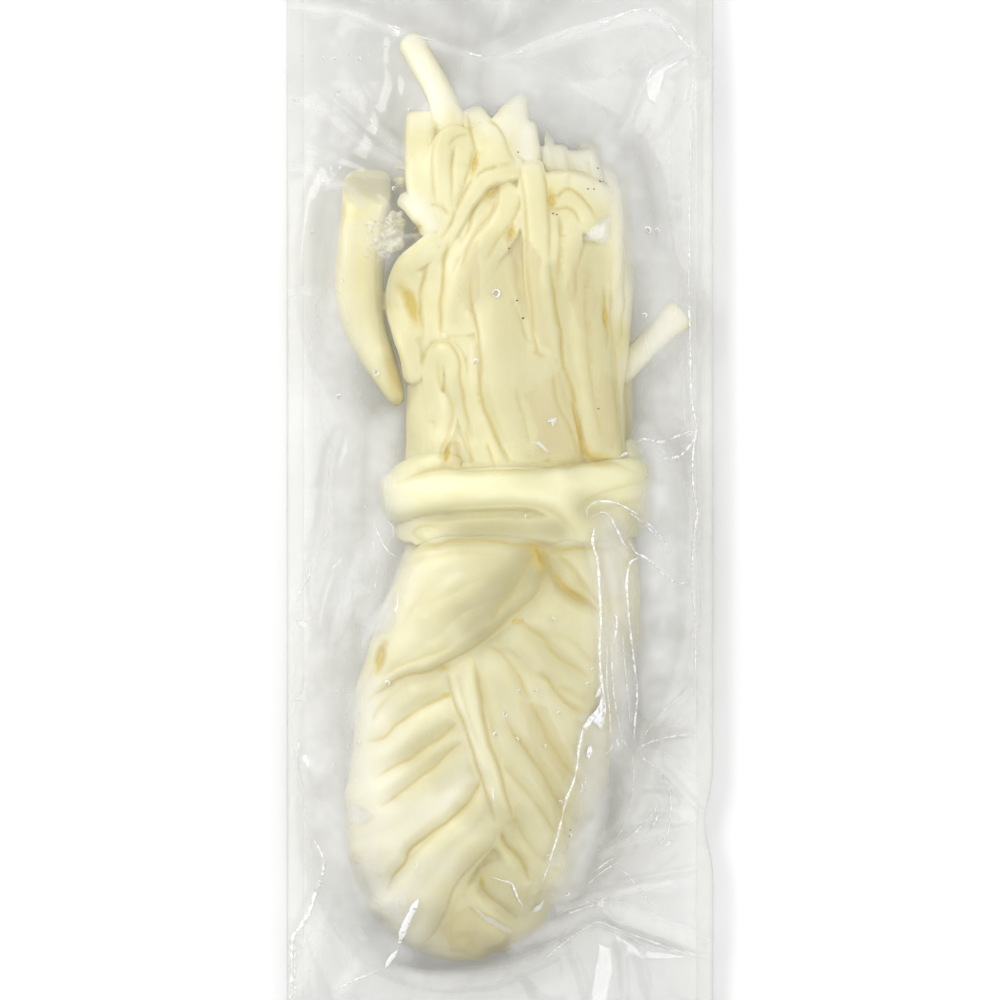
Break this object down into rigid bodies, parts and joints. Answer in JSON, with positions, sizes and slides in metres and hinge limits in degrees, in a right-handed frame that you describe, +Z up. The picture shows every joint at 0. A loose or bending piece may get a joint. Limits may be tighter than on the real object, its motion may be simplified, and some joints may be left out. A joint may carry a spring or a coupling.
{
  "type": "vacuum packed string cheese",
  "caption": "Braided string cheese with a strap round its neck and a loose fringe of strands, sealed in a clear flat vacuum pouch.",
  "frame": {"origin": "centre of the pouch's outline, on the flat patch that it rests on", "axes": "+Y along the pouch towards the fringe, +X across it, +Z up through the shown side"},
  "size_m": [0.114, 0.3, 0.0381],
  "materials": {
    "clear_film": "clear gloss film",
    "seal": "embossed heat seal",
    "cheese": "moist fibrous cheese",
    "whey": "clear liquid droplets",
    "speck": "black seeds"
  },
  "bodies": {
    "root": {"sealed_pouch": "clear_film"}
  },
  "joints": []
}
